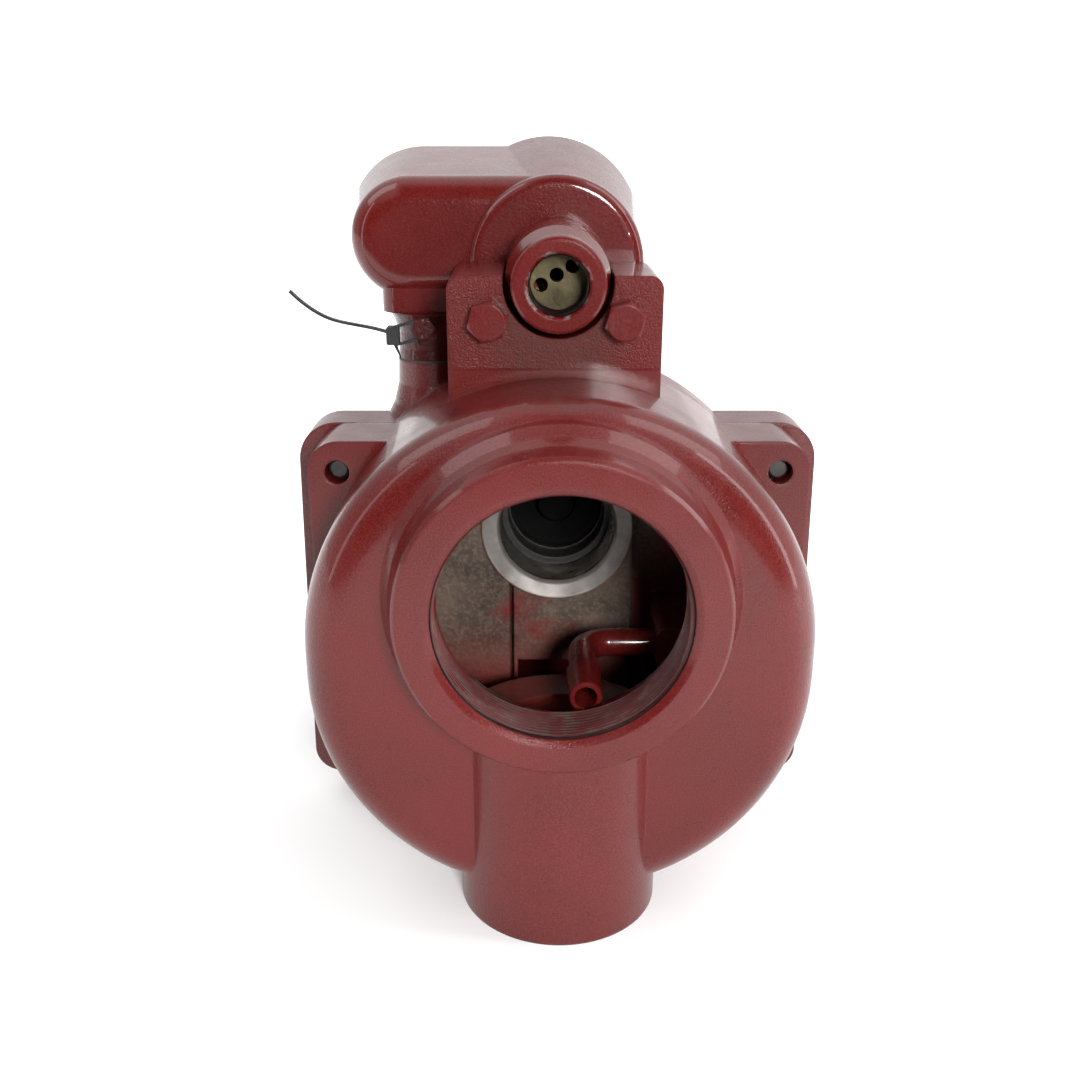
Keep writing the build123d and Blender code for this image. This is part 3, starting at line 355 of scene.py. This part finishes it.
# wiring neck enamel darkened to 0.45 as painted shade under the box
neck_paint_painted_shade = enamel("enamel_neck_painted_shade", 1.1, 330.0, painted_light_level=0.45)
paint_smooth = enamel("enamel_small", 0.5, 300.0, 0.0004, 0.0008)
paint_tube = enamel("enamel_tube", 0.35, 300.0, 0.0003, 0.0004)
zinc = metal("zinc_plate", (0.34, 0.34, 0.33), (0.58, 0.575, 0.56), dirt=(0.16, 0.13, 0.10))
stainless = metal("stainless", (0.45, 0.44, 0.42), (0.66, 0.65, 0.63), (0.18, 0.32), 420.0, 0.12)
brass = metal(
    "brass", (0.50, 0.34, 0.13), (0.72, 0.53, 0.25), (0.22, 0.38), 320.0, 0.15,
    dirt=(0.20, 0.13, 0.06),
)
chromate = metal(
    "yellow_chromate", (0.034, 0.026, 0.010), (0.115, 0.090, 0.038),
    (0.34, 0.52), 300.0, 0.5, 0.6, dirt=(0.04, 0.022, 0.012),
)
can = metal("capacitor_can", (0.52, 0.52, 0.53), (0.70, 0.70, 0.71), (0.26, 0.36), 200.0, 0.1)
dull_steel = metal(
    "dull_steel", (0.045, 0.042, 0.040), (0.12, 0.115, 0.11), (0.40, 0.60),
    300.0, 0.25, 0.8, (0.06, 0.03, 0.02),
)
# painted shade: the check seat's steel is coloured near-black, far inside the bore
seat_steel_painted_shade = metal(
    "seat_steel_painted_shade", (0.014, 0.013, 0.012), (0.045, 0.042, 0.038), (0.45, 0.60),
    300.0, 0.2, 0.6,
)
# black plastic for the check poppet and seal, made darker still as painted shade far inside the bore
acetal_painted_shade = soft_black("acetal_painted_shade", (0.0035, 0.0035, 0.0038), 0.60, 500.0, 0.1, Specular_IOR_Level=0.06)
gasket_paint = enamel("gasket_edge", 0.4, 600.0, 0.0003, 0.0002)
rubber = soft_black("nitrile", (0.020, 0.020, 0.020), 0.62, 900.0, 0.3)
fibre = soft_black("gasket_fibre", (0.045, 0.043, 0.040), 0.80, 1400.0, 0.5)
nylon = soft_black("nylon", (0.016, 0.016, 0.018), 0.36, 600.0, 0.12, Coat_Weight=0.15)

FINISH = {
    "manifold_casting": manifold_paint(),
    "discharge_head": head_paint(),
    "wiring_box": box_paint(),
    "box_cover": paint,
    "wiring_neck": neck_paint_painted_shade,
    "valve_cap": paint_smooth,
    "leak_port_plug": paint_smooth,
    "box_bolts": paint_smooth,
    "return_tube": paint_tube,
    "return_nipple": paint_tube,
    "head_gasket": gasket_paint,
    "box_gasket": fibre,
    "neck_gasket": fibre,
    "head_o_ring": rubber,
    "valve_cap_o_ring": rubber,
    "check_seal": acetal_painted_shade,
    "cable_tie": nylon,
    "connector_body": nylon,
    "capacitor": can,
    "conduit_seal_disc": chromate,
    "relief_cap": brass,
    "relief_poppet": brass,
    "siphon_body": brass,
    "connector_pins": brass,
    "capacitor_terminals": brass,
    "check_seat": seat_steel_painted_shade,
    "check_poppet": acetal_painted_shade,
    "head_bolts": dull_steel,
    "check_spring": stainless,
    "relief_spring": stainless,
    "siphon_spring": stainless,
    "siphon_ball": stainless,
}
for name, obj in nodes.items():
    obj.data.materials.clear()
    obj.data.materials.append(FINISH.get(name, zinc))


# ------------------------------------------------------------------ mesh helpers
def mesh_object(name, verts, faces, material):
    data = bpy.data.meshes.new(name)
    data.from_pydata(verts, [], faces)
    data.validate()
    data.materials.append(material)
    obj = bpy.data.objects.new(name, data)
    scene.collection.objects.link(obj)
    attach(obj, "base")


def thread(name, centre, axis, radius, pitch, start, end, depth, material):
    """Internal screw thread: a wall whose radius rises and falls along a helix."""
    around = 144
    steps = int((end - start) / pitch * 6)
    verts = []
    faces = []
    for i in range(steps + 1):
        s = start + (end - start) * i / steps
        for j in range(around):
            turn = j / around
            phase = (s / pitch - turn) % 1.0
            crest = 1.0 - abs(2.0 * phase - 1.0)
            fade = min(1.0, (s - start) / pitch, (end - s) / pitch)
            r = radius - 0.00015 - depth * crest * max(0.0, fade)
            a = 2 * pi * turn
            if axis == "Y":
                verts.append((centre[0] + r * cos(a), s, centre[1] + r * sin(a)))
            else:
                verts.append((centre[0] + r * cos(a), centre[1] + r * sin(a), s))
    for i in range(steps):
        for j in range(around):
            k = (j + 1) % around
            faces.append((i * around + j, i * around + k, (i + 1) * around + k, (i + 1) * around + j))
    mesh_object(name, verts, faces, material)


def thread_paint():
    n = Nodes("thread_painted")
    worn = n.ramp(n.noise(120.0, 5.0), 0.5, 0.72)
    color = n.mix(worn, (0.10, 0.008, 0.007), (0.16, 0.10, 0.085))
    # painted shade: the riser thread's roots are darkened toward black between the crests
    root = n.ramp(n.radius(n.x, n.z, 0.0, 0.0), 0.0534, 0.0543)
    color = n.mix(root, color, (0.010, 0.003, 0.003))
    normal = n.bump(n.noise(700.0, 4.0), 0.3, 0.0003)
    rough = n.ramp(n.noise(200.0), 0.3, 0.7, 0.28, 0.45)
    return n.finish(color, rough, n.math("MULTIPLY", worn, 0.6), normal)


thread_red = thread_paint()
thread_steel = metal(
    "thread_cut", (0.10, 0.092, 0.083), (0.27, 0.25, 0.23), (0.25, 0.45),
    260.0, 0.2, 0.9, (0.10, 0.075, 0.06),
)
thread("thread_riser", (0, 0), "Y", RISER_R, PITCH_4, 0.0022, 0.0268, 0.0012, thread_red)
thread("thread_column", (0, 0), "Y", NPT2_R, PITCH_2, HUB2_FACE + 0.0028, 0.1395, 0.0010, thread_steel)
thread(
    "thread_discharge", (0, LEG_Y), "Z", NPT2_R, PITCH_2, LEG_END + 0.0028, -0.1375, 0.0010, thread_steel
)
thread("thread_conduit", COND, "Y", COND_R, PITCH_34, COND_FACE + 0.0018, 0.0878, 0.0008, thread_red)


# ------------------------------------------------------------------ springs
def spring(node):
    """Coil copied from the part's mesh and attached to the base, with the original part hidden."""
    coil = bpy.data.objects.new(node + "_coil", nodes[node].data.copy())
    scene.collection.objects.link(coil)
    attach(coil, "base")
    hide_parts(node)
    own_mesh(coil)


spring("check_spring")
spring("relief_spring")
spring("siphon_spring")


# ------------------------------------------------------------------ stage
def floor_material():
    """White paper, lit evenly and brighter away from the object, so no horizon shows."""
    n = Nodes("floor_paper")
    tone = n.mix(n.ramp(n.noise(3.0, 3.0), 0.3, 0.7), (0.74, 0.74, 0.74), (0.77, 0.77, 0.77))
    away = n.ramp(n.radius(n.x, n.y, 0.0, 0.05), 0.20, 0.75, 0.22, 1.1)
    seen = n.tree.nodes.new("ShaderNodeLightPath").outputs["Is Camera Ray"]
    keep = n.math("MAXIMUM", n.ramp(n.y, -0.80, -0.35, 0.10, 1.0), seen)
    tone = n.mix(keep, (0.0, 0.0, 0.0), tone)
    n.link(n.math("MULTIPLY", away, keep), n.bsdf.inputs["Emission Strength"])
    n.bsdf.inputs["Emission Color"].default_value = (1, 1, 1, 1)
    return n.finish(tone, 0.7, 0.0, n.bump(n.noise(300.0), 0.03, 0.0005))


floor_data = bpy.data.meshes.new("floor")
floor_data.from_pydata(
    [(x, y, LEG_END - 0.0002) for x, y in ((-40, -40), (40, -40), (40, 40), (-40, 40))],
    [],
    [(0, 1, 2, 3)],
)
floor_data.materials.append(floor_material())
floor = bpy.data.objects.new("floor", floor_data)
scene.collection.objects.link(floor)


def studio_world():
    """White room with an open dark side at -Y; the backdrop itself shows as plain white."""
    world = bpy.data.worlds.new("studio")
    scene.world = world
    world.use_nodes = True
    tree = world.node_tree
    back = tree.nodes["Background"]

    def node(kind, **props):
        n = tree.nodes.new(kind)
        for key, value in props.items():
            setattr(n, key, value)
        return n

    def scale_to(socket, low, high, out_low, out_high):
        n = node("ShaderNodeMapRange", interpolation_type="SMOOTHSTEP")
        tree.links.new(socket, n.inputs[0])
        for i, v in enumerate((low, high, out_low, out_high)):
            n.inputs[i + 1].default_value = v
        return n.outputs[0]

    def pair(op, a, b):
        n = node("ShaderNodeMath", operation=op)
        tree.links.new(a, n.inputs[0])
        tree.links.new(b, n.inputs[1])
        return n.outputs[0]

    split = node("ShaderNodeSeparateXYZ")
    tree.links.new(node("ShaderNodeTexCoord").outputs["Generated"], split.inputs[0])
    depth = scale_to(split.outputs[1], -0.55, 0.30, 0.0, 1.0)
    wide = node("ShaderNodeMath", operation="ABSOLUTE")
    tree.links.new(split.outputs[0], wide.inputs[0])
    wings = scale_to(wide.outputs[0], 0.16, 0.42, 0.0, 1.0)
    high = pair("MULTIPLY", scale_to(split.outputs[2], 0.30, 0.75, 0.0, 1.0), wings)
    open_side = pair("MAXIMUM", depth, high)
    level = scale_to(open_side, 0.0, 1.0, WORLD_DARK, WORLD_LIGHT)
    level = pair("MULTIPLY", level, scale_to(split.outputs[0], -0.95, -0.25, 0.45, 1.0))
    seen = node("ShaderNodeLightPath").outputs["Is Camera Ray"]
    tree.links.new(pair("MAXIMUM", level, seen), back.inputs[1])
    back.inputs[0].default_value = (1, 1, 1, 1)


WORLD_DARK = 0.05
WORLD_LIGHT = 1.1
studio_world()


def area_light(name, place, target, size, power):
    data = bpy.data.lights.new(name, "AREA")
    data.shape = "RECTANGLE"
    data.size = size[0]
    data.size_y = size[1]
    data.energy = power
    lamp = bpy.data.objects.new(name, data)
    lamp.location = place
    scene.collection.objects.link(lamp)
    point = bpy.data.objects.new(name + "_aim", None)
    point.location = target
    scene.collection.objects.link(point)
    track = lamp.constraints.new("TRACK_TO")
    track.target = point
    track.track_axis = "TRACK_NEGATIVE_Z"
    track.up_axis = "UP_Y"


area_light("top_left", (-0.72, 0.15, 0.95), (0, 0.08, 0), (0.5, 0.7), 3.0)
area_light("top_right", (0.72, 0.15, 0.95), (0, 0.08, 0), (0.5, 0.7), 3.5)
area_light("key_front", (0.26, -1.05, 0.40), (0, 0.12, 0), (0.26, 0.26), 15)
area_light("strip_left", (-1.0, -0.25, 0.35), (0, 0.05, 0), (0.12, 0.9), 1.2)
area_light("strip_right", (1.0, -0.15, 0.35), (0, 0.05, 0), (0.16, 1.0), 4)

camera_data = bpy.data.cameras.new("camera")
camera_data.sensor_width = 36
camera_data.lens = 38.84
camera_data.clip_start = 0.01
camera = bpy.data.objects.new("camera", camera_data)
camera.location = (-0.01208, -0.42635, 0.19475)
camera.rotation_euler = (radians(70), 0, 0)
scene.collection.objects.link(camera)
scene.camera = camera
scene.view_settings.view_transform = "Standard"
